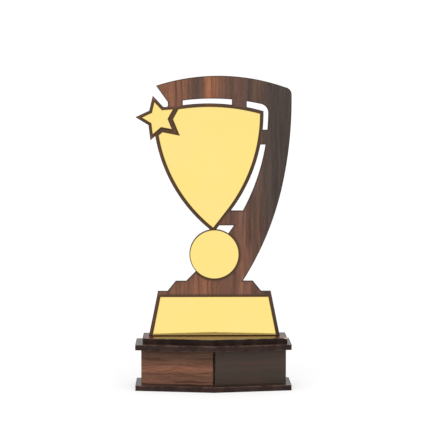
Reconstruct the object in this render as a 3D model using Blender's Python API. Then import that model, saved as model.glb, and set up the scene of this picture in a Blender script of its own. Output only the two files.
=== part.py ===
"""Column trophy, modelled in Blender.

A flat laminated board, cut as an arch with a cup, a star and a medal, carries four thin gold
sheets.  It stands by two tabs in a small plinth plate, on a hollow base whose front comes to a
shallow point.  The frame has +X to the right, the front towards -Y and +Z up, with the origin
in the middle of the underside.
"""
import math

import bmesh
import bpy
from mathutils import Vector

MM = 0.001

# Joints: a hair's breadth of glue line between pieces that touch.
GAP = 0.3 * MM

# Base: a foot plate and a cap plate of one size, with a hollow box between them.
SHEET = 4.0 * MM
BASE_WIDTH = 117.4 * MM
BASE_SIDE_DEPTH = 33.0 * MM
BASE_POINT = 9.0 * MM
SEAM_X = 0.4 * MM
BASE_HEIGHT = 39.0 * MM

# Box between the plates, a little to the right of their middle.
BOX_X = 0.25 * MM
BOX_WIDTH = 109.4 * MM
BOX_SETBACK = 9.0 * MM
POST_SIZE = 8.0 * MM
SEAM_POST_HALF = 6.0 * MM

# Plinth plate under the board, glued on a little to the right of the middle.
PLINTH_WIDTH = 109.0 * MM
PLINTH_SETBACK = 5.0 * MM
TROPHY_X = 1.2 * MM

# Upright board and its tabs.
TAB_WIDTH = 12.0 * MM
TAB_X = 30.0 * MM
TAB_DEPTH = 3.6 * MM

# Gold sheets on the face of the board.
GOLD_THICKNESS = 1.0 * MM
CUP_RIM = 2.4 * MM
STAR_RIM = 2.1 * MM
STAR_CLEARANCE = 3.1 * MM

# Foot of the board: its middle, half widths and heights over the plinth plate.
FOOT_X = -0.25 * MM
FOOT_HALF = 49.75 * MM
FOOT_TOP_HALF = 42.85 * MM
STEP_HALF = 35.55 * MM
SHOULDER_HALF = 29.3 * MM
STEP_Z = 34.0 * MM
SHOULDER_Z = 41.75 * MM
NAME_RIM = 2.5 * MM
NAME_BOTTOM_Z = 0.5 * MM
NAME_TOP_Z = 30.1 * MM

# Bridges that hold the cup in the window around it.
TOP_BRIDGE = (13.0 * MM, 24.1 * MM)
SIDE_BRIDGE = (145.2 * MM, 156.4 * MM)
LOWER_BRIDGE = (84.1 * MM, 95.3 * MM)
WINDOW_LEFT = -24.0 * MM

# A flat chord stays this close to the arc that it stands for.
CHORD_ERROR = 0.015 * MM

# Directions in the plane of the board, to tell two crossings apart.
LEFT = Vector((-1.0, 0.0))
RIGHT = Vector((1.0, 0.0))
UP = Vector((0.0, 1.0))

# Heights and depths that follow from the sizes above.
PANEL_HEIGHT = BASE_HEIGHT - 3 * SHEET - 3 * GAP
PANEL_Z = SHEET + GAP
CAP_Z = PANEL_Z + PANEL_HEIGHT + GAP
PLINTH_Z = CAP_Z + SHEET + GAP
BACK_Y = (BASE_SIDE_DEPTH + BASE_POINT) / 2
CORNER_Y = BACK_Y - BASE_SIDE_DEPTH
POINT_Y = CORNER_Y - BASE_POINT
BOARD_Y = (CORNER_Y + PLINTH_SETBACK + BACK_Y) / 2
GOLD_Y = BOARD_Y - SHEET / 2 - GAP - GOLD_THICKNESS / 2


class Arc:
    """A circular edge in the plane of the board, given by its centre and radius."""

    def __init__(self, x, z, radius):
        self.centre = Vector((x, z))
        self.radius = radius

    def grown(self, margin):
        return Arc(self.centre.x, self.centre.y, self.radius + margin)

    def above(self, x):
        """The point of the upper half over x."""
        rise = math.sqrt(self.radius ** 2 - (x - self.centre.x) ** 2)
        return Vector((x, self.centre.y + rise))

    def beside(self, z, side):
        """The point at height z on the right (side 1) or the left (side -1)."""
        reach = math.sqrt(self.radius ** 2 - (z - self.centre.y) ** 2)
        return Vector((self.centre.x + side * reach, z))

    def at(self, angle):
        return self.centre + self.radius * Vector((math.cos(angle), math.sin(angle)))

    def angle_of(self, point):
        offset = point - self.centre
        return math.atan2(offset.y, offset.x)

    def run(self, start, end):
        """Points from start to end the short way round, both ends included."""
        first = self.angle_of(start)
        turn = math.remainder(self.angle_of(end) - first, math.tau)
        finest = 2 * math.acos(1 - CHORD_ERROR / self.radius)
        steps = max(1, math.ceil(abs(turn) / finest))
        return [self.at(first + turn * i / steps) for i in range(steps + 1)]

    def meet(self, other, towards):
        """The crossing with another arc that lies further in a direction."""
        between = other.centre - self.centre
        distance = between.length
        along = (distance ** 2 + self.radius ** 2 - other.radius ** 2) / (2 * distance)
        half = math.sqrt(self.radius ** 2 - along ** 2)
        axis = between.normalized()
        middle = self.centre + along * axis
        offset = half * Vector((-axis.y, axis.x))
        return max((middle + offset, middle - offset), key=towards.dot)

    def meet_line(self, start, end, towards):
        """The crossing with the straight line through two points that lies further in a direction."""
        axis = (end - start).normalized()
        foot = start + axis * (self.centre - start).dot(axis)
        reach = math.sqrt(self.radius ** 2 - (self.centre - foot).length_squared)
        return max((foot + reach * axis, foot - reach * axis), key=towards.dot)


def at(x, z):
    """A point of the board, from millimetres right of its middle and over the plinth plate."""
    return Vector((x * MM, z * MM))


def arc_of(x, z, radius):
    return Arc(x * MM, z * MM, radius * MM)


def arc_through(start, via, end):
    """Points of the arc through three points, in order."""
    a = via - start
    b = end - start
    cross = 2 * (a.x * b.y - a.y * b.x)
    x = (b.y * a.length_squared - a.y * b.length_squared) / cross
    z = (a.x * b.length_squared - b.x * a.length_squared) / cross
    arc = Arc(start.x + x, start.y + z, math.hypot(x, z))
    return arc.run(start, via) + arc.run(via, end)[1:]


# Large edges of the board.
ARCH_TOP = arc_of(2.8, 45.1, 151.75)
ARCH_TIP_X = -44.1 * MM
BACK_UPPER = arc_of(-240.4, 177.6, 298.3)
BACK_LOWER = arc_of(-169.0, 162.4, 225.3)
WINDOW_TOP = arc_of(-1.9, 8.1, 171.65)
WINDOW_SIDE = arc_of(-116.0, 170.0, 156.4)
CUP_TOP = arc_of(-4.3, 28.7, 145.1)
CUP_RIGHT = arc_of(-84.7, 168.6, 119.05)
CUP_LEFT = arc_of(68.6, 170.4, 112.5)
CUP_TIP = at(-1.0, 82.3)
CUP_STRAIGHT_Z = 95.0 * MM
MEDAL = arc_of(-0.3, 62.2, 18.6)
MEDAL_RIM = 0.3 * MM
BACK_JOINT_Z = 110.0 * MM
CORNER_START = at(53.0, 188.3)
CORNER_VIA = at(56.8, 186.0)
CORNER_END = at(57.85, 182.3)

# Turn of the window round the cup's top right corner.
TURN_START_X = 35.0 * MM
TURN_VIA = at(38.7, 173.6)
TURN_END_Z = 168.3 * MM

# Slope from the foot's shoulder up to the medal.
NECK_START = Vector((-21.6 * MM, SHOULDER_Z))
NECK_VIA = at(-14.2, 49.2)

# Rounded inner end of the cleft between the star and the arch.
CLEFT_LOW = (at(-36.3, 173.5), at(-35.5, 173.9), at(-35.2, 174.7))
CLEFT_HIGH = (at(-35.2, 176.4), at(-35.35, 177.1), at(-35.7, 177.7))

# Star: its middle, its points and notches, and how far it is turned.
STAR_CENTRE = at(-42.05, 164.85)
STAR_TIP_RADIUS = 13.2 * MM
STAR_NOTCH_RADIUS = 6.95 * MM
STAR_TURN = math.radians(32.8)
STAR_POINTS = 5


def star_outline(margin=0.0):
    """Corners of the star, counter-clockwise from its right-hand point, moved out by a margin."""
    half = math.pi / STAR_POINTS
    tip = Vector((STAR_TIP_RADIUS, 0.0))
    notch = STAR_NOTCH_RADIUS * Vector((math.cos(half), math.sin(half)))
    edge = (notch - tip).normalized()
    distance = abs(tip.x * edge.y)
    scale = (distance + margin) / distance
    corners = []
    for i in range(2 * STAR_POINTS):
        radius = scale * (STAR_NOTCH_RADIUS if i % 2 else STAR_TIP_RADIUS)
        angle = STAR_TURN + i * half
        corners.append(STAR_CENTRE + radius * Vector((math.cos(angle), math.sin(angle))))
    return corners


def rim_straight():
    """Start and direction of the rim's straight stretch, beside the one that ends in the cup's tip."""
    start = CUP_RIGHT.beside(CUP_STRAIGHT_Z, 1)
    axis = (CUP_TIP - start).normalized()
    outward = Vector((-axis.y, axis.x))
    return start + CUP_RIM * outward, axis


def cup_outline():
    """The gold cup: three bowed sides, with the star's corner cut out of it."""
    star = star_outline(STAR_CLEARANCE)
    left = CUP_LEFT.meet_line(star[6], star[7], LEFT)
    top = CUP_TOP.meet_line(star[9], star[0], UP)
    corner = CUP_RIGHT.meet(CUP_TOP, RIGHT)
    outline = CUP_TOP.run(top, corner)
    outline += CUP_RIGHT.run(corner, CUP_RIGHT.beside(CUP_STRAIGHT_Z, 1))[1:]
    outline += CUP_LEFT.run(CUP_TIP, left)
    outline += [star[7], star[8], star[9]]
    return outline


def window_outlines():
    """The four openings round the cup, between its rim and the arch."""
    rim_top = CUP_TOP.grown(CUP_RIM)
    rim_side = CUP_RIGHT.grown(CUP_RIM)
    rim_corner = rim_top.meet(rim_side, RIGHT)
    shallow_end, steep_start = TOP_BRIDGE

    top = WINDOW_TOP.run(WINDOW_TOP.above(WINDOW_LEFT), WINDOW_TOP.above(shallow_end))
    top += rim_top.run(rim_top.above(shallow_end), rim_top.above(WINDOW_LEFT))

    turn_start = WINDOW_TOP.above(TURN_START_X)
    turn_end = WINDOW_SIDE.beside(TURN_END_Z, 1)
    corner = WINDOW_TOP.run(WINDOW_TOP.above(steep_start), turn_start)
    corner += arc_through(turn_start, TURN_VIA, turn_end)[1:]
    corner += WINDOW_SIDE.run(turn_end, WINDOW_SIDE.beside(SIDE_BRIDGE[1], 1))[1:]
    corner += rim_side.run(rim_side.beside(SIDE_BRIDGE[1], 1), rim_corner)
    corner += rim_top.run(rim_corner, rim_top.above(steep_start))[1:]

    high, low = SIDE_BRIDGE[0], LOWER_BRIDGE[1]
    side = WINDOW_SIDE.run(WINDOW_SIDE.beside(high, 1), WINDOW_SIDE.beside(low, 1))
    side += rim_side.run(rim_side.beside(low, 1), rim_side.beside(high, 1))

    medal = MEDAL.grown(MEDAL_RIM)
    start, axis = rim_straight()
    under_bridge = start + axis * (LOWER_BRIDGE[0] - start.y) / axis.y
    at_medal = medal.meet_line(start, under_bridge, UP)
    outer_top = WINDOW_SIDE.beside(LOWER_BRIDGE[0], 1)
    outer_low = WINDOW_SIDE.meet(medal, UP)
    lower = WINDOW_SIDE.run(outer_top, outer_low)
    lower += medal.run(outer_low, at_medal)[1:]
    lower.append(under_bridge)
    return [top, corner, side, lower]


def foot_outline(side):
    """One side of the foot with its tab, from the middle of the bottom to the shoulder."""
    tab_low = GAP - TAB_DEPTH
    inner_tab, outer_tab = TAB_X - TAB_WIDTH / 2, TAB_X + TAB_WIDTH / 2
    corners = [(inner_tab, GAP), (inner_tab, tab_low), (outer_tab, tab_low), (outer_tab, GAP)]
    corners += [(FOOT_HALF, GAP), (FOOT_TOP_HALF, STEP_Z), (STEP_HALF, STEP_Z)]
    corners.append((SHOULDER_HALF, SHOULDER_Z))
    return [Vector((FOOT_X + side * x, z)) for x, z in corners]


def board_outline():
    """The board's outer edge, clockwise from the left tip of the arch."""
    outline = ARCH_TOP.run(ARCH_TOP.above(ARCH_TIP_X), CORNER_START)
    outline += arc_through(CORNER_START, CORNER_VIA, CORNER_END)[1:]
    back_joint = BACK_LOWER.beside(BACK_JOINT_Z, 1)
    outline += BACK_UPPER.run(BACK_UPPER.beside(CORNER_END.y, 1), back_joint)[1:]
    outline += BACK_LOWER.run(back_joint, BACK_LOWER.beside(SHOULDER_Z, 1))[1:]

    outline += reversed(foot_outline(1))
    outline += foot_outline(-1)

    medal = MEDAL.grown(MEDAL_RIM)
    neck_end = medal.meet_line(NECK_START, NECK_VIA, LEFT)
    rim_left = CUP_LEFT.grown(CUP_RIM)
    rim_foot = rim_left.meet(medal, UP)
    outline.append(NECK_START)
    outline += medal.run(neck_end, medal.at(math.pi))
    outline += medal.run(medal.at(math.pi), rim_foot)[1:]

    star = star_outline(STAR_RIM)
    rim_star = rim_left.meet_line(star[6], star[7], LEFT)
    outline += rim_left.run(rim_foot, rim_star)[1:]
    outline += [star[i] for i in (6, 5, 4, 3, 2, 1)]
    outline += arc_through(*CLEFT_LOW)
    outline += arc_through(*CLEFT_HIGH)
    return outline


def name_outline():
    """The gold name sheet: the foot's trapezium inside its rim."""
    slope = (FOOT_HALF - FOOT_TOP_HALF) / STEP_Z
    low_half = FOOT_HALF - slope * NAME_BOTTOM_Z - NAME_RIM
    top_half = FOOT_HALF - slope * NAME_TOP_Z - NAME_RIM
    low, top = NAME_BOTTOM_Z, NAME_TOP_Z
    corners = ((-low_half, low), (low_half, low), (top_half, top), (-top_half, top))
    return [Vector((FOOT_X + x, z)) for x, z in corners]


def medal_outline():
    quarter = [MEDAL.at(math.radians(angle)) for angle in (0, 90, 180, 270, 360)]
    outline = []
    for start, end in zip(quarter, quarter[1:]):
        outline += MEDAL.run(start, end)[1:]
    return outline


def pointed_outline(width, setback=0.0, middle_x=0.0):
    """Plan of a plate with a shallow point in front and its back flush with the base's."""
    front = CORNER_Y + setback
    point = POINT_Y + setback
    left, right = middle_x - width / 2, middle_x + width / 2
    plan = ((left, BACK_Y), (left, front), (SEAM_X, point), (right, front), (right, BACK_Y))
    return [Vector(corner) for corner in plan]


def tab_slots():
    """Plans of the two slots that take the board's tabs, with the glue gap all round."""
    half_width = TAB_WIDTH / 2 + GAP
    half_depth = SHEET / 2 + GAP
    corners = ((-1, -1), (1, -1), (1, 1), (-1, 1))
    middle = TROPHY_X + FOOT_X
    slots = []
    for x in (middle - TAB_X, middle + TAB_X):
        slots.append([Vector((x + i * half_width, BOARD_Y + j * half_depth)) for i, j in corners])
    return slots


def box_wall_x(side):
    """The outer face of the box on the right (side 1) or the left (side -1)."""
    return BOX_X + side * BOX_WIDTH / 2


def front_panel_plan(side):
    """Plan of one front panel, square-cut, so that the two meet at their inner corners."""
    slope = BASE_POINT / (BASE_WIDTH / 2)
    inner = Vector((SEAM_X + side * GAP / 2, POINT_Y + BOX_SETBACK + SHEET))
    along = Vector((side, slope)).normalized()
    outward = Vector((slope, -side)).normalized() * side
    outer = inner + outward * SHEET
    length = (box_wall_x(side) - outer.x) / along.x
    return [outer, outer + along * length, inner + along * length, inner]


def panel_end_y(side):
    """How far back a front panel's outer end reaches."""
    return max(corner.y for corner in front_panel_plan(side))


def side_panel_plan(side):
    outer = box_wall_x(side)
    inner = outer - side * SHEET
    front = panel_end_y(side) + GAP
    return [Vector(p) for p in ((outer, front), (outer, BACK_Y), (inner, BACK_Y), (inner, front))]


def back_panel_plan():
    left = box_wall_x(-1) + SHEET + GAP
    right = box_wall_x(1) - SHEET - GAP
    near = BACK_Y - SHEET
    return [Vector(p) for p in ((left, near), (right, near), (right, BACK_Y), (left, BACK_Y))]


def corner_post_plan(side, back):
    """Plan of a glue post in one corner of the box."""
    outer = box_wall_x(side) - side * (SHEET + GAP)
    inner = outer - side * POST_SIZE
    if back:
        far = BACK_Y - SHEET - GAP
        return [Vector(p) for p in ((outer, far), (inner, far), (inner, far - POST_SIZE),
                                    (outer, far - POST_SIZE))]
    near = panel_end_y(side) + GAP
    return [Vector(p) for p in ((outer, near), (inner, near), (inner, near + POST_SIZE),
                                (outer, near + POST_SIZE))]


def seam_post_plan():
    """Plan of the post behind the seam, with its front cut to the same shallow point."""
    left, right = SEAM_X - SEAM_POST_HALF, SEAM_X + SEAM_POST_HALF
    slope = BASE_POINT / (BASE_WIDTH / 2)
    point = POINT_Y + BOX_SETBACK + SHEET + 2 * GAP
    side_y = point + slope * SEAM_POST_HALF
    rear = point + POST_SIZE
    plan = ((SEAM_X, point), (right, side_y), (right, rear), (left, rear), (left, side_y))
    return [Vector(corner) for corner in plan]


def material(name, colour, roughness, metallic=0.0):
    made = bpy.data.materials.new(name)
    made.use_nodes = True
    shader = made.node_tree.nodes["Principled BSDF"]
    shader.inputs["Base Color"].default_value = (*colour, 1.0)
    shader.inputs["Roughness"].default_value = roughness
    shader.inputs["Metallic"].default_value = metallic
    return made


def flat_piece(name, outlines, thickness, finish):
    """A sheet cut to one or more closed outlines; those inside the first are holes."""
    curve = bpy.data.curves.new(name, "CURVE")
    curve.dimensions = "2D"
    curve.fill_mode = "BOTH"
    curve.extrude = thickness / 2
    for outline in outlines:
        spline = curve.splines.new("POLY")
        spline.points.add(len(outline) - 1)
        for point, corner in zip(spline.points, outline):
            point.co = (corner.x, corner.y, 0.0, 1.0)
        spline.use_cyclic_u = True
    guide = bpy.data.objects.new(name + "_outline", curve)
    bpy.context.scene.collection.objects.link(guide)
    bpy.context.view_layer.update()
    evaluated = guide.evaluated_get(bpy.context.evaluated_depsgraph_get())
    mesh = bpy.data.meshes.new_from_object(evaluated)
    bpy.data.objects.remove(guide)
    bpy.data.curves.remove(curve)
    shape = bmesh.new()
    shape.from_mesh(mesh)
    bmesh.ops.remove_doubles(shape, verts=shape.verts, dist=0.001 * MM)
    bmesh.ops.recalc_face_normals(shape, faces=shape.faces)
    shape.to_mesh(mesh)
    shape.free()
    mesh.name = name
    mesh.materials.clear()
    mesh.materials.append(finish)
    return bpy.data.objects.new(name, mesh)


def upright(piece, y):
    """Stand a flat piece up in the board's plane, over the plinth plate."""
    piece.rotation_euler = (math.radians(90), 0.0, 0.0)
    piece.location = (TROPHY_X, y, BASE_HEIGHT)
    return piece


def level(piece, bottom, thickness):
    """Lay a flat piece level with its underside at a height."""
    piece.location = (0.0, 0.0, bottom + thickness / 2)
    return piece


def build():
    for thing in list(bpy.data.objects):
        bpy.data.objects.remove(thing)
    trophy = bpy.data.collections.new("column_trophy")
    bpy.context.scene.collection.children.link(trophy)

    walnut = material("walnut_laminate", (0.205, 0.102, 0.062), 0.28)
    dark_walnut = material("dark_walnut_laminate", (0.062, 0.048, 0.039), 0.25)
    plate_walnut = material("plate_laminate", (0.078, 0.052, 0.046), 0.2)
    gold = material("gold_mirror", (0.99, 0.78, 0.26), 0.05, 1.0)
    bare_wood = material("bare_wood", (0.42, 0.28, 0.16), 0.75)

    plate = pointed_outline(BASE_WIDTH)
    plinth = pointed_outline(PLINTH_WIDTH, PLINTH_SETBACK, TROPHY_X)
    pieces = [
        level(flat_piece("foot_plate", [plate], SHEET, plate_walnut), 0.0, SHEET),
        level(flat_piece("cap_plate", [plate], SHEET, plate_walnut), CAP_Z, SHEET),
        level(flat_piece("plinth_plate", [plinth, *tab_slots()], SHEET, plate_walnut),
              PLINTH_Z, SHEET),
    ]

    plans = {
        "back_panel": (back_panel_plan(), walnut),
        "seam_post": (seam_post_plan(), bare_wood),
    }
    for side, word, finish in ((-1, "left", walnut), (1, "right", dark_walnut)):
        plans["front_panel_" + word] = (front_panel_plan(side), finish)
        plans["side_panel_" + word] = (side_panel_plan(side), walnut)
        plans["front_post_" + word] = (corner_post_plan(side, back=False), bare_wood)
        plans["back_post_" + word] = (corner_post_plan(side, back=True), bare_wood)
    for name, (plan, finish) in plans.items():
        piece = flat_piece(name, [plan], PANEL_HEIGHT, finish)
        pieces.append(level(piece, PANEL_Z, PANEL_HEIGHT))

    board = [board_outline(), *window_outlines()]
    pieces.append(upright(flat_piece("upright_board", board, SHEET, walnut), BOARD_Y))
    sheets = {
        "cup_sheet": cup_outline(),
        "star_sheet": star_outline(),
        "medal_sheet": medal_outline(),
        "name_sheet": name_outline(),
    }
    for name, outline in sheets.items():
        pieces.append(upright(flat_piece(name, [outline], GOLD_THICKNESS, gold), GOLD_Y))

    for piece in pieces:
        trophy.objects.link(piece)


build()
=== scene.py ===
import math

import bmesh
import bpy
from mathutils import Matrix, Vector
from mathutils.bvhtree import BVHTree


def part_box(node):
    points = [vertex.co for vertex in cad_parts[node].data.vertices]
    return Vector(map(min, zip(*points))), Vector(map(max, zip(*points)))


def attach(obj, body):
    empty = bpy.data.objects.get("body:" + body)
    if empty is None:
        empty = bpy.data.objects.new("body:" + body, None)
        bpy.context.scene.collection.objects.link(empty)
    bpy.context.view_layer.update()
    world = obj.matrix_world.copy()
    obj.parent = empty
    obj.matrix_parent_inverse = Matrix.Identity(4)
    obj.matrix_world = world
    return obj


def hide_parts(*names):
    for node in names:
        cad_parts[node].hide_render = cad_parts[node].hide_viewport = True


# A laser-cut award: an upright board of walnut-patterned laminate with four gold-mirror sheets on
# its face, glued on a small plinth over a hollow base with a shallow V front.

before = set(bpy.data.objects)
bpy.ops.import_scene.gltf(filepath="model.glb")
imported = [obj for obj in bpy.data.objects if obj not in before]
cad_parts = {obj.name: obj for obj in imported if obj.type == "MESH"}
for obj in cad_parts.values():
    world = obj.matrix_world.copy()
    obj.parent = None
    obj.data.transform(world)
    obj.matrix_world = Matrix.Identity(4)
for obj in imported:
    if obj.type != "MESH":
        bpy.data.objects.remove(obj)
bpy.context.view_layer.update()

MM = 0.001

# The base's levels and the board's planes, from the frame.
FOOT_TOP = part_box("foot_plate")[1].z
CAP_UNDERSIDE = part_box("cap_plate")[0].z
CAP_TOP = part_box("cap_plate")[1].z
PLINTH_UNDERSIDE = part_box("plinth_plate")[0].z
PLINTH_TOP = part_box("plinth_plate")[1].z
PANEL_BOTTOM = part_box("back_panel")[0].z
PANEL_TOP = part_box("back_panel")[1].z
BOARD_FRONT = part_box("upright_board")[0].y
SHEET_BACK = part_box("name_sheet")[1].y

# How close points have to be to count as one, and as lying at one level.
SAME_POINT = 0.001 * MM
SAME_LEVEL = 0.01 * MM

# Angles past which an edge is rounded, and past which it stays sharp in the shading.
ROUNDED_PAST = math.radians(25)
SHARP_PAST = math.radians(35)

# How nearly a face has to be turned one way to belong to a flat side.
FLAT = 0.999

# Workmanship.
BOARD_ROUNDING = 0.12 * MM
PLATE_ROUNDING = 0.3 * MM
MIRROR_ROUNDING = 0.1 * MM
BOARD_RIM = 1.0 * MM
PLATE_RIM = 0.9 * MM
PANEL_RIM = 0.2 * MM
MIRROR_RIM = 0.5 * MM
FILM_SETBACK = 0.4 * MM
# Painted shade beside the mirror sheets: the pitch of the grid that carries it, and how far it reaches.
SHADE_GRID_PITCH = 1.5 * MM
PAINTED_SHADE_REACH = 4.0 * MM

# The white studio: what the mirrors see and how bright surfaces turned to the front come out.
SURROUND = 1.035
KEY_STRENGTH = 3.1
FRONT_LIGHT = 1.5
PANEL_LIGHT = 1.32
KEY_SPREAD = math.radians(90)
KEY_TILT = math.radians(30)
FLOOR_GLOW = 0.55
FLOOR_COLOUR = (0.26, 0.26, 0.26, 1.0)
FLOOR_CLOUD = (0.265, 0.265, 0.264, 1.0)
FLOOR_REACH = 8.0

# The camera, in millimetres of lens and metres of place.
SENSOR_WIDTH = 36
LENS = 123.6
CAMERA_PLACE = (-0.0185, -1.1075, 0.215)
CAMERA_LOOKS_DOWN = 4.315
CAMERA_TURN = -1.025

# What gloss alone adds to the light from a laminate and from a charred edge.
SHEEN = 0.018
EDGE_SHEEN = 0.012


def linear(display):
    """One display channel, 0 to 255, as a linear light value."""
    share = display / 255
    return share / 12.92 if share <= 0.04045 else ((share + 0.055) / 1.055) ** 2.4


def seen(red, green, blue, light=FRONT_LIGHT, sheen=0.0):
    """The base colour of a finish that looks like this display colour in the studio's light."""
    return (*(max(0.002, linear(channel) - sheen) / light for channel in (red, green, blue)), 1.0)


def laminated(red, green, blue):
    """The base colour of laminate on the upright board and on the tops of the plates."""
    return seen(red, green, blue, sheen=SHEEN)


def panelled(red, green, blue):
    """The base colour of laminate under the cap, where less light falls."""
    return seen(red, green, blue, light=PANEL_LIGHT, sheen=SHEEN)


def charred(red, green, blue):
    """The base colour of a wall that the laser has cut."""
    return seen(red, green, blue, sheen=EDGE_SHEEN)


# ---------------------------------------------------------------- finishes


class Value:
    """A node's output that Python's operators work with; each operation adds a Math node."""

    def __init__(self, finish, socket):
        self.finish = finish
        self.socket = socket

    def maths(self, operation, *terms):
        return self.finish.node("Math", {"operation": operation}, dict(enumerate(terms)))

    def __add__(self, other):
        return self.maths("ADD", self, other)

    def __radd__(self, other):
        return self.maths("ADD", other, self)

    def __sub__(self, other):
        return self.maths("SUBTRACT", self, other)

    def __rsub__(self, other):
        return self.maths("SUBTRACT", other, self)

    def __mul__(self, other):
        return self.maths("MULTIPLY", self, other)

    def __rmul__(self, other):
        return self.maths("MULTIPLY", other, self)

    def __truediv__(self, other):
        return self.maths("DIVIDE", self, other)


class Finish:
    """One material, made of nodes."""

    def __init__(self, name):
        self.material = bpy.data.materials.new(name)
        self.material.use_nodes = True
        self.tree = self.material.node_tree
        self.tree.nodes.clear()

    def node(self, kind, settings=None, inputs=None, output=0):
        """Adds a shader node, first its settings and then the values or links of its sockets."""
        made = self.tree.nodes.new("ShaderNode" + kind)
        for setting, value in (settings or {}).items():
            if setting == "stops":
                self.set_stops(made.color_ramp, value)
            else:
                setattr(made, setting, value)
        for key, value in (inputs or {}).items():
            if isinstance(value, Value):
                self.tree.links.new(value.socket, made.inputs[key])
            else:
                made.inputs[key].default_value = value
        return Value(self, made.outputs[output]) if made.outputs else None

    def set_stops(self, ramp, stops):
        while len(ramp.elements) < len(stops):
            ramp.elements.new(0.5)
        for element, (position, colour) in zip(ramp.elements, stops):
            element.position = position
            element.color = colour

    def point(self):
        """The place on the piece in millimetres, as three values."""
        place = self.node("TexCoord", output="Object")
        return [self.node("SeparateXYZ", {}, {"Vector": place}, axis) / MM for axis in "XYZ"]

    def attribute(self, name):
        return self.node("Attribute", {"attribute_name": name}, output="Fac")

    def speckle(self, x, y, z, sizes, detail=2.0, roughness=0.5):
        """Noise whose lumps have these three sizes in millimetres, from about 0.2 to 0.8."""
        place = self.node("CombineXYZ", {}, {"X": x / sizes[0], "Y": y / sizes[1], "Z": z / sizes[2]})
        inputs = {"Vector": place, "Scale": 1.0, "Detail": detail, "Roughness": roughness}
        return self.node("TexNoise", {}, inputs, "Fac")

    def streaks(self, along, across, length, width, seed, detail=3.0):
        """Noise drawn out along the grain. Each seed is another cut through it."""
        place = self.node("CombineXYZ", {}, {"X": along / length, "Y": across / width, "Z": seed})
        inputs = {"Vector": place, "Scale": 1.0, "Detail": detail, "Roughness": 0.6}
        return self.node("TexNoise", {}, inputs, "Fac")

    def between(self, value, low, high):
        """0 below low, 1 above high and a smooth step in between."""
        settings = {"interpolation_type": "SMOOTHSTEP"}
        inputs = {"Value": value, "From Min": low, "From Max": high}
        return self.node("MapRange", settings, inputs, "Result")

    def bands(self, position, stops):
        """Colours that follow one another across the sheet, each at its place in millimetres."""
        low = stops[0][0]
        span = stops[-1][0] - low
        shares = [((place - low) / span, colour) for place, colour in stops]
        return self.node("ValToRGB", {"stops": shares}, {"Fac": (position - low) / span}, "Color")

    def mix(self, share, first, second):
        """The first colour, turning into the second as share goes from 0 to 1."""
        return self.node("Mix", {"data_type": "RGBA"}, {0: share, 6: first, 7: second}, 2)

    def scaled(self, colour, tone):
        """A colour made lighter or darker."""
        return self.node("VectorMath", {"operation": "SCALE"}, {0: colour, "Scale": tone})

    def bump(self, height, depth, strength=1.0):
        inputs = {"Height": height, "Distance": depth, "Strength": strength}
        return self.node("Bump", {}, inputs, "Normal")

    def surface(self, **sockets):
        """Closes the material with one Principled shader; Base_Color means Base Color."""
        inputs = {name.replace("_", " "): value for name, value in sockets.items()}
        shader = self.node("BsdfPrincipled", {}, inputs)
        self.node("OutputMaterial", {}, {"Surface": shader})
        return self.material


def laminate(
    name, grain, stops, contrast, vein, veining=0.5,
    roughness=0.5, wander=5.0, lower_stops=None, specular=0.2,
):
    """Walnut-patterned laminate. grain names the axes along and across it, such as "ZX"."""
    finish = Finish(name)
    x, y, z = finish.point()
    axes = {"X": x, "Y": y, "Z": z}
    along = axes[grain[0]]
    straight = axes[grain[1]]
    drift = finish.streaks(along, straight, 60, 24, seed=1.3, detail=1.0)
    across = straight + (drift - 0.5) * wander
    colour = finish.bands(across, stops)
    if lower_stops:
        low_down = finish.between(along + (drift - 0.5) * 40, 152, 98)
        colour = finish.mix(low_down, colour, finish.bands(across, lower_stops))
    broad = finish.streaks(along, across, 70, 3.2, seed=4.1)
    threads = finish.streaks(along, across, 34, 1.1, seed=7.7)
    hairs = finish.streaks(along, across, 16, 0.4, seed=9.2)
    tone = 1 + ((broad - 0.5) * 0.9 + (threads - 0.5) * 0.9 + (hairs - 0.5) * 0.45) * contrast
    colour = finish.scaled(colour, tone)
    curl = finish.streaks(along, straight, 22, 14, seed=2.6, detail=1.0)
    winding = straight + (curl - 0.5) * wander
    veins = finish.between(finish.streaks(along, winding, 46, 2.1, seed=15.8, detail=2.0), 0.52, 0.68)
    colour = finish.mix(veins * veining, colour, vein)
    pores = finish.between(finish.streaks(along, across, 3.6, 0.2, seed=12.4, detail=1.0), 0.6, 0.7)
    colour = finish.mix(pores * (0.45 * contrast), colour, laminated(40, 28, 24))
    rim_blotches = finish.speckle(x, y, z, (2.5, 2.5, 2.5))
    # Painted shade beside the mirror sheets: the board turns a darker warm brown close to them.
    soot = finish.between(finish.attribute("soot") + (rim_blotches - 0.5) * 0.1, 0.35, 0.8)
    colour = finish.mix(soot * 0.85, colour, laminated(88, 70, 52))
    scorch = finish.between(finish.attribute("scorch") + (rim_blotches - 0.5) * 0.25, 0.08, 1.0)
    colour = finish.mix(scorch, colour, laminated(66, 54, 47))
    shine = roughness + (broad - 0.5) * 0.12 + pores * 0.12 + scorch * 0.12
    height = threads * 0.5 + hairs * 0.35 - pores * 0.8
    return finish.surface(
        Base_Color=colour,
        Roughness=shine,
        Specular_IOR_Level=specular,
        Normal=finish.bump(height, 0.03 * MM, 0.5),
    )


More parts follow.
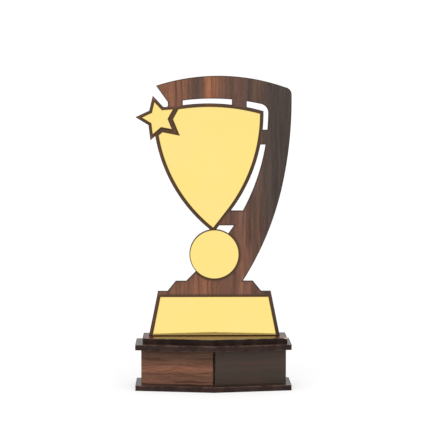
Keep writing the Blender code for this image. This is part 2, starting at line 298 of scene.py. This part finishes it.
def charred_edge(name, thickness_axis, colour, warm):
    """The wall that the laser leaves: dark, dull and finely ribbed through the thickness, with a painted
    highlight on its rounded edges.
    """
    finish = Finish(name)
    x, y, z = finish.point()
    sizes = {"Y": (0.45, 9.0, 0.45), "Z": (0.45, 0.45, 9.0)}[thickness_axis]
    ribs = finish.speckle(x, y, z, sizes, detail=2.0)
    patches = finish.speckle(x, y, z, (9.0, 5.0, 9.0), detail=3.0, roughness=0.6)
    # Lighter patches on the rounded edges: painted highlight where they catch the light, partly rubbed
    # wear.
    highlight_and_wear = finish.attribute("rounded") * finish.between(patches, 0.4, 0.65)
    dark = finish.scaled(finish.mix(finish.between(patches, 0.35, 0.7), colour, warm), 0.7 + ribs * 0.6)
    return finish.surface(
        Base_Color=finish.mix(highlight_and_wear * 0.7, dark, charred(122, 101, 92)),
        Roughness=0.62 + (ribs - 0.5) * 0.2 - highlight_and_wear * 0.15,
        Specular_IOR_Level=0.12,
        Normal=finish.bump(ribs + patches * 0.5, 0.05 * MM, 0.6),
    )


def gold_mirror():
    """Gold-mirror acrylic: clear and flat, with hardly a wave in it."""
    finish = Finish("gold_mirror")
    x, y, z = finish.point()
    wave = finish.speckle(x, y, z, (38.0, 38.0, 38.0), detail=1.0)
    haze = finish.speckle(x, y, z, (3.0, 3.0, 3.0), detail=4.0, roughness=0.7)
    gold = seen(254, 229, 137, light=SURROUND)
    pale = seen(255, 229, 142, light=SURROUND)
    clean = finish.mix(finish.between(wave, 0.35, 0.65), gold, pale)
    burnt = finish.between(finish.attribute("scorch") + (haze - 0.5) * 0.3, 0.1, 0.65)
    return finish.surface(
        Base_Color=finish.mix(burnt, clean, seen(124, 82, 22)),
        Metallic=1 - burnt,
        Roughness=0.05 + haze * 0.03 + burnt * 0.25,
        Normal=finish.bump(wave, 0.05 * MM, 0.3),
    )


def mirror_edge():
    """The acrylic's cut wall, burnt amber."""
    finish = Finish("burnt_acrylic")
    x, y, z = finish.point()
    ribs = finish.speckle(x, y, z, (0.5, 4.0, 0.5))
    return finish.surface(
        Base_Color=finish.mix(ribs, seen(70, 42, 14), seen(128, 86, 34)),
        Roughness=0.28 + ribs * 0.15,
        Specular_IOR_Level=0.3,
        Normal=finish.bump(ribs, 0.03 * MM, 0.5),
    )


def adhesive_film():
    """The double-sided film under the mirrors, seen only edge on."""
    finish = Finish("adhesive_film")
    x, y, z = finish.point()
    threads = finish.speckle(x, y, z, (1.5, 1.5, 1.5), detail=3.0)
    return finish.surface(
        Base_Color=finish.mix(threads, seen(88, 66, 40), seen(120, 96, 66)),
        Roughness=0.45 + threads * 0.2,
        Normal=finish.bump(threads, 0.02 * MM, 0.4),
    )


def bare_wood():
    """The glue posts' plain softwood, upright grain."""
    finish = Finish("bare_wood")
    x, y, z = finish.point()
    rings = finish.speckle(x, y, z, (1.3, 1.3, 45.0), detail=3.0, roughness=0.6)
    fibres = finish.speckle(x, y, z, (0.25, 0.25, 8.0), detail=2.0)
    colour = finish.mix(finish.between(rings, 0.35, 0.7), seen(214, 182, 134), seen(176, 132, 84))
    return finish.surface(
        Base_Color=finish.scaled(colour, 0.85 + fibres * 0.3),
        Roughness=0.66 + (fibres - 0.5) * 0.2,
        Normal=finish.bump(fibres + rings, 0.05 * MM, 0.5),
    )


def broken_core():
    """The board's pale fibre core, where a corner is chipped."""
    finish = Finish("broken_core")
    x, y, z = finish.point()
    fibres = finish.speckle(x, y, z, (0.18, 0.18, 0.18), detail=4.0, roughness=0.7)
    return finish.surface(
        Base_Color=finish.mix(fibres, seen(190, 138, 110), seen(238, 210, 192)),
        Roughness=0.8 + (fibres - 0.5) * 0.2,
        Normal=finish.bump(fibres, 0.12 * MM, 0.8),
    )


def studio_floor():
    """A plain pale floor that glows faintly, so that shadows on it stay weak."""
    finish = Finish("studio_floor")
    x, y, z = finish.point()
    cloud = finish.speckle(x, y, z, (300.0, 300.0, 300.0))
    return finish.surface(
        Base_Color=finish.mix(cloud, FLOOR_COLOUR, FLOOR_CLOUD),
        Roughness=0.9,
        Specular_IOR_Level=0.0,
        Emission_Color=(1.0, 1.0, 1.0, 1.0),
        Emission_Strength=FLOOR_GLOW,
    )


# Across the board, from the arch's tip at the left to the column's outer side.
ARCH_BANDS = (
    (-40, laminated(146, 99, 77)),
    (-22, laminated(136, 94, 75)),
    (-17, laminated(106, 81, 68)),
    (-12, laminated(92, 73, 66)),
    (-9, laminated(112, 82, 69)),
    (-4, laminated(162, 108, 79)),
    (2, laminated(137, 92, 71)),
    (8, laminated(116, 84, 70)),
    (14, laminated(101, 77, 66)),
    (19, laminated(116, 86, 75)),
    (28, laminated(88, 72, 65)),
    (33, laminated(108, 82, 71)),
    (39, laminated(86, 73, 66)),
    (46, laminated(80, 70, 65)),
    (58, laminated(80, 70, 65)),
)
COLUMN_BANDS = (
    (-36, laminated(128, 91, 73)),
    (-22, laminated(134, 94, 75)),
    (-6, laminated(146, 98, 75)),
    (4, laminated(122, 86, 70)),
    (14, laminated(122, 87, 72)),
    (20, laminated(136, 96, 79)),
    (27, laminated(126, 90, 74)),
    (31, laminated(106, 81, 68)),
    (35, laminated(114, 84, 70)),
    (38, laminated(88, 71, 64)),
    (42, laminated(100, 76, 67)),
    (47, laminated(80, 69, 64)),
)
# Up the red-brown front panel, from its bottom edge.
LEFT_PANEL_BANDS = (
    (4, panelled(122, 87, 72)),
    (8, panelled(118, 84, 68)),
    (10.5, panelled(122, 86, 69)),
    (13, panelled(130, 89, 70)),
    (16.5, panelled(134, 91, 73)),
    (18.5, panelled(116, 82, 66)),
    (21, panelled(108, 77, 61)),
    (25, panelled(106, 78, 64)),
    (31, panelled(98, 72, 60)),
)
RIGHT_PANEL_BANDS = (
    (4, panelled(69, 61, 56)),
    (12, panelled(72, 63, 57)),
    (20, panelled(79, 66, 60)),
    (31, panelled(81, 70, 64)),
)
SIDE_BANDS = (
    (4, panelled(74, 60, 54)),
    (15, panelled(88, 68, 58)),
    (24, panelled(70, 58, 52)),
    (31, panelled(80, 64, 56)),
)
PLATE_BANDS = (
    (-22, laminated(66, 54, 50)),
    (-6, laminated(74, 58, 52)),
    (8, laminated(62, 52, 48)),
    (22, laminated(72, 58, 52)),
)

PLINTH_BANDS = (
    (-16, laminated(82, 54, 44)),
    (0, laminated(88, 57, 46)),
    (16, laminated(78, 54, 45)),
)

BOARD_FACE = laminate(
    "walnut_board", "ZX", ARCH_BANDS, 1.15, laminated(66, 52, 48), 0.45, lower_stops=COLUMN_BANDS
)
LEFT_FACE = laminate("walnut_panel", "XZ", LEFT_PANEL_BANDS, 1.3, panelled(72, 50, 41), 0.75, wander=8.0)
RIGHT_FACE = laminate("dark_panel", "XZ", RIGHT_PANEL_BANDS, 0.45, panelled(84, 64, 57), 0.6)
SIDE_FACE = laminate("side_laminate", "YZ", SIDE_BANDS, 0.7, panelled(56, 44, 38))
BACK_FACE = laminate("back_laminate", "XZ", SIDE_BANDS, 0.8, panelled(60, 46, 40))
PLATE_FACE = laminate(
    "plate_laminate", "XY", PLATE_BANDS, 0.6, laminated(58, 44, 38), roughness=0.34, specular=0.25
)
PLINTH_FACE = laminate(
    "plinth_laminate", "XY", PLINTH_BANDS, 0.6, laminated(58, 42, 36), roughness=0.28, specular=0.08
)
UPRIGHT_EDGE = charred_edge("charred_upright_edge", "Y", charred(58, 45, 40), charred(76, 56, 46))
PLATE_EDGE = charred_edge("charred_plate_edge", "Z", charred(53, 42, 40), charred(66, 51, 47))
PLINTH_EDGE = charred_edge("charred_plinth_edge", "Z", charred(42, 33, 30), charred(56, 43, 38))
GOLD = gold_mirror()
GOLD_EDGE = mirror_edge()
FILM = adhesive_film()
POST_WOOD = bare_wood()
CORE = broken_core()


# ---------------------------------------------------------------- pieces

MIRRORS = ("cup", "star", "medal", "name")


def merged_copy(node):
    """A copy of a CAD node whose loose triangles are merged back into its flat faces."""
    bm = bmesh.new()
    bm.from_mesh(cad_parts[node].data)
    bmesh.ops.remove_doubles(bm, verts=bm.verts, dist=SAME_POINT)
    bmesh.ops.dissolve_limit(bm, angle_limit=math.radians(0.1), verts=bm.verts, edges=bm.edges)
    return bm


def bring_level(bm, old, new):
    """Moves what lies at one height to another, to close the frame's gap to a neighbour."""
    for vert in bm.verts:
        if abs(vert.co.z - old) < SAME_LEVEL:
            vert.co.z = new


def round_edges(bm, width, segments=2):
    """Rounds every sharp edge and marks the new faces as rounded."""
    rounded = bm.faces.layers.float.new("rounded")
    sharp = [edge for edge in bm.edges if edge.calc_face_angle(0) > ROUNDED_PAST]
    made = bmesh.ops.bevel(
        bm, geom=sharp, offset=width, offset_type="OFFSET", segments=segments,
        profile=0.5, affect="EDGES", clamp_overlap=True, material=-1,
    )
    for face in made["faces"]:
        face[rounded] = 1.0


def broad_faces(bm):
    """The faces of a flat piece's two broad sides."""
    bm.normal_update()
    facing = max(bm.faces, key=lambda face: face.calc_area()).normal.copy()
    return [face for face in bm.faces if abs(face.normal.dot(facing)) > FLAT]


def scorch_rim(bm, width):
    """Gives the cut walls the second material, and lets scorch fade across a rim of the sides."""
    scorch = bm.verts.layers.float.new("scorch")
    broad = broad_faces(bm)
    for face in bm.faces:
        face.material_index = 1
    for face in broad:
        face.material_index = 0
    rim = bmesh.ops.inset_region(
        bm, faces=broad, thickness=width, use_boundary=True, use_even_offset=True
    )
    for face in rim["faces"]:
        face.material_index = 0
    for vert in bm.verts:
        vert[scorch] = 1.0
    for face in broad:
        for vert in face.verts:
            vert[scorch] = 0.0


def paint_shade_beside_mirrors(bm):
    """Grids the front and records, from 0 far off to 1 at the edge, how near a mirror sheet is: the mask
    of the painted shade beside the sheets.
    """
    sheets = bmesh.new()
    for part in MIRRORS:
        sheets.from_mesh(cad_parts[part + "_sheet"].data)
    nearest = BVHTree.FromBMesh(sheets)
    sheets.free()
    bm.normal_update()
    for axis, direction in ((0, (1, 0, 0)), (2, (0, 0, 1))):
        low = min(vert.co[axis] for vert in bm.verts)
        high = max(vert.co[axis] for vert in bm.verts)
        for step in range(1, math.ceil((high - low) / SHADE_GRID_PITCH)):
            front = [face for face in bm.faces if face.normal.y < -FLAT]
            edges = {edge for face in front for edge in face.edges}
            verts = {vert for edge in edges for vert in edge.verts}
            place = low + step * SHADE_GRID_PITCH
            bmesh.ops.bisect_plane(
                bm, geom=[*verts, *edges, *front], plane_co=[place] * 3, plane_no=direction
            )
            bm.normal_update()
    soot = bm.verts.layers.float.new("soot")
    behind = BOARD_FRONT - SHEET_BACK
    for vert in bm.verts:
        distance = nearest.find_nearest(vert.co)[3]
        off = math.sqrt(max(0.0, distance ** 2 - behind ** 2))
        vert[soot] = max(0.0, 1 - off / PAINTED_SHADE_REACH)


def chip_corner(bm, corner, cuts):
    """Breaks a corner off with a few small planes, and gives the break the third material."""
    for direction, depth in cuts:
        outward = Vector(direction).normalized()
        whole = bm.verts[:] + bm.edges[:] + bm.faces[:]
        cut = bmesh.ops.bisect_plane(
            bm, geom=whole, plane_co=corner - outward * depth, plane_no=outward, clear_outer=True
        )
        rim = [item for item in cut["geom_cut"] if isinstance(item, bmesh.types.BMEdge)]
        filled = bmesh.ops.holes_fill(bm, edges=rim, sides=0)
        for face in filled["faces"]:
            face.material_index = 2


def add_piece(name, bm, materials, node=None):
    """Makes the finished mesh an object that rides on the frame and stands for its CAD node."""
    bmesh.ops.recalc_face_normals(bm, faces=bm.faces)
    mesh = bpy.data.meshes.new(name)
    bm.to_mesh(mesh)
    bm.free()
    for material in materials:
        mesh.materials.append(material)
    mesh.shade_smooth()
    mesh.set_sharp_from_angle(angle=SHARP_PAST)
    piece = bpy.data.objects.new(name, mesh)
    bpy.context.scene.collection.objects.link(piece)
    settle = piece.modifiers.new("flat_sides", "WEIGHTED_NORMAL")
    settle.keep_sharp = True
    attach(piece, "root")
    if node:
        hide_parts(node)
    return piece


def upright_board():
    """The arch, column, rims and foot: one board that stands on the plinth."""
    bm = merged_copy("upright_board")
    gap_top = min(v.co.z for v in bm.verts if v.co.z > PLINTH_TOP)
    bring_level(bm, gap_top, PLINTH_TOP)
    round_edges(bm, BOARD_ROUNDING)
    scorch_rim(bm, BOARD_RIM)
    paint_shade_beside_mirrors(bm)
    add_piece("arch_board", bm, [BOARD_FACE, UPRIGHT_EDGE], "upright_board")


def base_plates():
    """The foot and cap plates, and the plinth plate with its chipped front corner."""
    for name, node in (("foot_slab", "foot_plate"), ("cap_slab", "cap_plate")):
        bm = merged_copy(node)
        round_edges(bm, PLATE_ROUNDING)
        scorch_rim(bm, PLATE_RIM)
        add_piece(name, bm, [PLATE_FACE, PLATE_EDGE], node)
    bm = merged_copy("plinth_plate")
    bring_level(bm, PLINTH_UNDERSIDE, CAP_TOP)
    round_edges(bm, PLATE_ROUNDING)
    scorch_rim(bm, PLATE_RIM)
    right_end = max(v.co.x for v in bm.verts)
    corner_y = min(v.co.y for v in bm.verts if v.co.x > right_end - 0.1 * MM)
    corner = Vector((right_end, corner_y, PLINTH_TOP))
    chip_corner(bm, corner, (((0.5, -1.0, 1.6), 0.62 * MM), ((0.9, -0.5, 0.9), 0.72 * MM)))
    add_piece("plinth_slab", bm, [PLINTH_FACE, PLINTH_EDGE, CORE], "plinth_plate")


def base_panels():
    """The four walls of the base, each reaching the plates above and below it."""
    panels = (
        ("red_brown_front", "front_panel_left", LEFT_FACE, "walnut_panel"),
        ("dark_front", "front_panel_right", RIGHT_FACE, "dark_panel"),
        ("left_side", "side_panel_left", SIDE_FACE, "side_laminate"),
        ("right_side", "side_panel_right", SIDE_FACE, "side_laminate"),
        ("rear_wall", "back_panel", BACK_FACE, "side_laminate"),
    )
    for name, node, face, slot in panels:
        bm = merged_copy(node)
        bring_level(bm, PANEL_BOTTOM, FOOT_TOP)
        bring_level(bm, PANEL_TOP, CAP_UNDERSIDE)
        round_edges(bm, BOARD_ROUNDING)
        scorch_rim(bm, PANEL_RIM)
        add_piece(name, bm, [face, PLATE_EDGE], node)


def glue_posts():
    """The five posts in the hollow of the base."""
    corners = ("front_post_left", "front_post_right", "back_post_left", "back_post_right")
    for node in ("seam_post", *corners):
        bm = merged_copy(node)
        bring_level(bm, PANEL_BOTTOM, FOOT_TOP)
        bring_level(bm, PANEL_TOP, CAP_UNDERSIDE)
        round_edges(bm, PLATE_ROUNDING)
        add_piece(node + "_block", bm, [POST_WOOD], node)


def adhesive_under(name, sheet):
    """The film between a mirror sheet and the board, cut a little smaller than the sheet."""
    bm = sheet.copy()
    bm.normal_update()
    all_but_back = [face for face in bm.faces if face.normal.y < FLAT]
    bmesh.ops.delete(bm, geom=all_but_back, context="FACES")
    rim = bmesh.ops.inset_region(
        bm, faces=bm.faces[:], thickness=FILM_SETBACK, use_boundary=True, use_even_offset=True
    )
    bmesh.ops.delete(bm, geom=rim["faces"], context="FACES")
    grown = bmesh.ops.extrude_face_region(bm, geom=bm.faces[:])
    moved = [item for item in grown["geom"] if isinstance(item, bmesh.types.BMVert)]
    bmesh.ops.translate(bm, verts=moved, vec=(0, BOARD_FRONT - SHEET_BACK, 0))
    add_piece(name, bm, [FILM])


def mirror_sheets():
    """The four gold sheets and the film that holds them."""
    for part in MIRRORS:
        bm = merged_copy(part + "_sheet")
        adhesive_under(part + "_film", bm)
        round_edges(bm, MIRROR_ROUNDING)
        scorch_rim(bm, MIRROR_RIM)
        add_piece(part + "_mirror", bm, [GOLD, GOLD_EDGE], part + "_sheet")


# ---------------------------------------------------------------- studio


def floor():
    """A wide pale floor at the foot of the trophy."""
    bm = bmesh.new()
    bmesh.ops.create_grid(bm, x_segments=8, y_segments=8, size=FLOOR_REACH)
    mesh = bpy.data.meshes.new("studio_floor")
    bm.to_mesh(mesh)
    bm.free()
    mesh.materials.append(studio_floor())
    sheet = bpy.data.objects.new("studio_floor", mesh)
    bpy.context.scene.collection.objects.link(sheet)


def light():
    """A white surround and one very broad light from the front and above."""
    world = bpy.data.worlds.new("white_surround")
    world.use_nodes = True
    background = world.node_tree.nodes["Background"]
    background.inputs["Color"].default_value = (1.0, 1.0, 1.0, 1.0)
    background.inputs["Strength"].default_value = SURROUND
    bpy.context.scene.world = world
    key = bpy.data.lights.new("key_light", "SUN")
    key.energy = KEY_STRENGTH
    key.angle = KEY_SPREAD
    lamp = bpy.data.objects.new("key_light", key)
    lamp.rotation_euler = (KEY_TILT, 0, 0)
    bpy.context.scene.collection.objects.link(lamp)


def camera():
    """A long lens a little below the trophy's top, looking slightly down."""
    lens = bpy.data.cameras.new("camera")
    lens.sensor_width = SENSOR_WIDTH
    lens.lens = LENS
    eye = bpy.data.objects.new("camera", lens)
    eye.location = CAMERA_PLACE
    eye.rotation_euler = (math.radians(90 - CAMERA_LOOKS_DOWN), 0, math.radians(CAMERA_TURN))
    bpy.context.scene.collection.objects.link(eye)
    bpy.context.scene.camera = eye
    bpy.context.scene.view_settings.view_transform = "Standard"


upright_board()
base_plates()
base_panels()
glue_posts()
mirror_sheets()
floor()
light()
camera()
